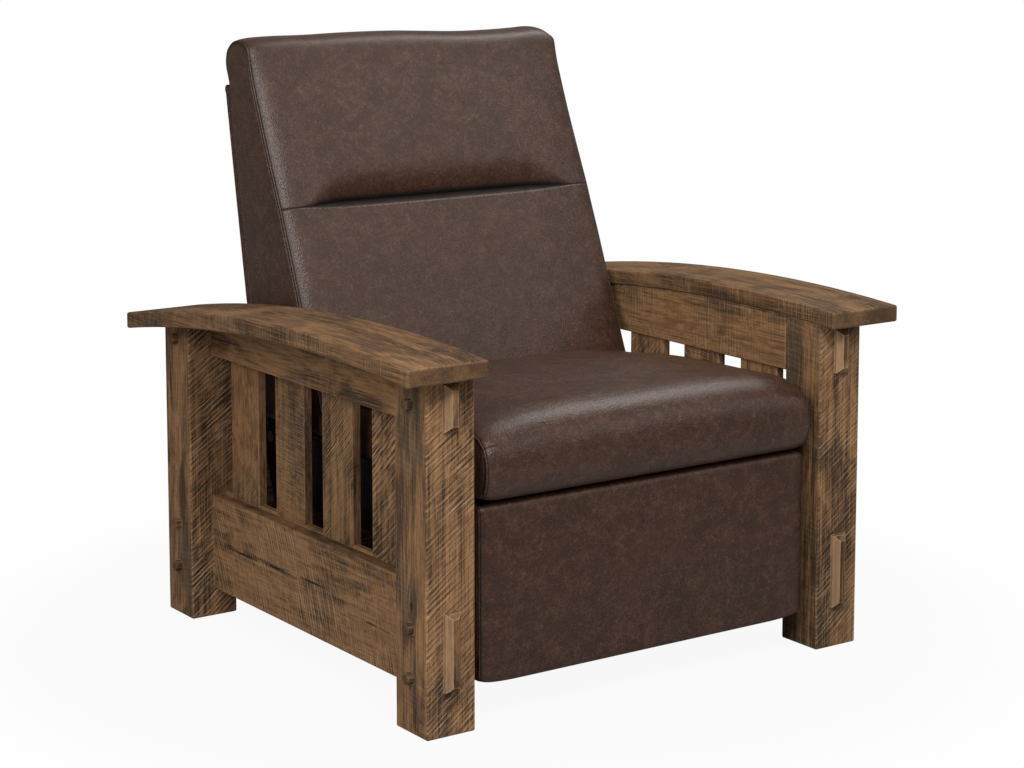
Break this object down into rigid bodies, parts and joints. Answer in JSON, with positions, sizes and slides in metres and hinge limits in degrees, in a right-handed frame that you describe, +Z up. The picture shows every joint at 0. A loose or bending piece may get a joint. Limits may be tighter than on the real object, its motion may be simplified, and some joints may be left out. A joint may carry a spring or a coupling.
{
  "type": "wall hugger recliner",
  "caption": "Timber-framed wall hugger recliner: arched arms, slatted sides, leather seat and back that slide forward and lean together, and a linked fold-out footrest.",
  "frame": {"origin": "on the floor, under the middle of the bounding box", "axes": "+Z up, the chair faces -Y, +X on the right of someone who looks at its front"},
  "size_m": [0.982, 0.929, 1.0282],
  "materials": {
    "timber_posts": "rough sawn, brown stain",
    "timber_arms": "rough sawn, brown stain",
    "timber_rails": "rough sawn, brown stain",
    "timber_slats": "rough sawn, brown stain",
    "timber_pegs": "rough sawn, brown stain",
    "inner_timber": "plain",
    "leather_cover": "satin",
    "leather_back": "satin",
    "spring_wire": "satin",
    "nylon_rollers": "matte",
    "zinc_pins": "satin",
    "mechanism_steel": "satin"
  },
  "bodies": {
    "root": {"arm_board_left": "timber_arms", "arm_board_right": "timber_arms", "back_post_left": "timber_posts", "back_post_right": "timber_posts", "back_rail": "timber_rails", "frame_pegs": "timber_pegs", "front_post_left": "timber_posts", "front_post_right": "timber_posts", "front_stretcher": "timber_rails", "groove_fillers": "timber_slats", "low_side_rail_left": "timber_rails", "low_side_rail_right": "timber_rails", "lower_tenon_ends": "timber_pegs", "slat_left_1": "timber_slats", "slat_left_2": "timber_slats", "slat_left_3": "timber_slats", "slat_left_4": "timber_slats", "slat_right_1": "timber_slats", "slat_right_2": "timber_slats", "slat_right_3": "timber_slats", "slat_right_4": "timber_slats", "slide_tracks": "mechanism_steel", "top_side_rail_left": "timber_rails", "top_side_rail_right": "timber_rails", "track_screws": "zinc_pins", "upper_tenon_ends": "timber_pegs"},
    "seat_carriage": {"carriage_plate_left": "mechanism_steel", "carriage_plate_right": "mechanism_steel", "seat_side_rails": "inner_timber", "seat_front_rail": "inner_timber", "seat_back_rail": "inner_timber", "seat_nose_board": "inner_timber", "seat_springs": "spring_wire", "carriage_tie_tubes": "mechanism_steel", "seat_cushion": "leather_cover", "roller_axles": "zinc_pins", "link_pivot_pins": "zinc_pins", "back_pivot_pins": "zinc_pins"},
    "front_roller_pair": {"front_rollers": "nylon_rollers"},
    "back_roller_pair": {"back_rollers": "nylon_rollers"},
    "reclining_back": {"back_stiles": "inner_timber", "back_frame_low_rail": "inner_timber", "back_frame_top_rail": "inner_timber", "back_springs": "spring_wire", "back_brackets": "mechanism_steel", "back_cushion": "leather_cover", "outside_back_panel": "leather_back", "outside_back_skirt": "leather_back"},
    "inner_link_pair": {"inner_links": "mechanism_steel", "knee_pins": "zinc_pins", "footrest_torque_tube": "mechanism_steel"},
    "outer_link_pair": {"outer_links": "mechanism_steel", "outer_link_pins": "zinc_pins"},
    "rear_control_pair": {"rear_control_links": "mechanism_steel"},
    "front_control_pair": {"front_control_links": "mechanism_steel"},
    "footrest": {"footrest_pad": "leather_cover", "footrest_board": "inner_timber", "footrest_brackets": "mechanism_steel", "footrest_pins": "zinc_pins"}
  },
  "joints": [
    {"name": "seat_slide", "type": "slide", "parent": "root", "child": "seat_carriage", "axis": [0, -1, 0], "range_m": [0, 0.15]},
    {"name": "back_recline", "type": "hinge", "parent": "seat_carriage", "child": "reclining_back", "pos_m": [0, 0.256, 0.33], "axis": [-1, 0, 0], "range_deg": [0, 24]},
    {"name": "front_roller_spin", "type": "hinge", "parent": "seat_carriage", "child": "front_roller_pair", "pos_m": [0, -0.165, 0.19], "axis": [1, 0, 0], "range_deg": [0, 702]},
    {"name": "back_roller_spin", "type": "hinge", "parent": "seat_carriage", "child": "back_roller_pair", "pos_m": [0, 0.215, 0.19], "axis": [1, 0, 0], "range_deg": [0, 702]},
    {"name": "footrest_swing", "type": "hinge", "parent": "seat_carriage", "child": "inner_link_pair", "pos_m": [0, -0.305, 0.298], "axis": [-1, 0, 0], "range_deg": [0, 91.6]},
    {"name": "outer_link_swing", "type": "hinge", "parent": "inner_link_pair", "child": "outer_link_pair", "pos_m": [0, -0.27462, 0.12211], "axis": [-1, 0, 0], "range_deg": [-104, 0]},
    {"name": "footrest_tilt", "type": "hinge", "parent": "outer_link_pair", "child": "footrest", "pos_m": [0, -0.33593, 0.23503], "axis": [-1, 0, 0], "range_deg": [0, 102.5]},
    {"name": "rear_control_swing", "type": "hinge", "parent": "seat_carriage", "child": "rear_control_pair", "pos_m": [0, -0.3002, 0.2565], "axis": [-1, 0, 0], "range_deg": [0, 94]},
    {"name": "front_control_swing", "type": "hinge", "parent": "inner_link_pair", "child": "front_control_pair", "pos_m": [0, -0.28103, 0.15926], "axis": [-1, 0, 0], "range_deg": [-106, 0]}
  ],
  "couplings": [
    {"joint": "back_recline", "follows": "seat_slide", "rad_per_m": 2.792},
    {"joint": "front_roller_spin", "follows": "seat_slide", "rad_per_m": 81.633},
    {"joint": "back_roller_spin", "follows": "seat_slide", "rad_per_m": 81.633},
    {"joint": "outer_link_swing", "follows": "footrest_swing", "ratio": -1.1339},
    {"joint": "footrest_tilt", "follows": "footrest_swing", "ratio": 1.1162},
    {"joint": "rear_control_swing", "follows": "footrest_swing", "ratio": 1.0206},
    {"joint": "front_control_swing", "follows": "footrest_swing", "ratio": -1.1507}
  ]
}
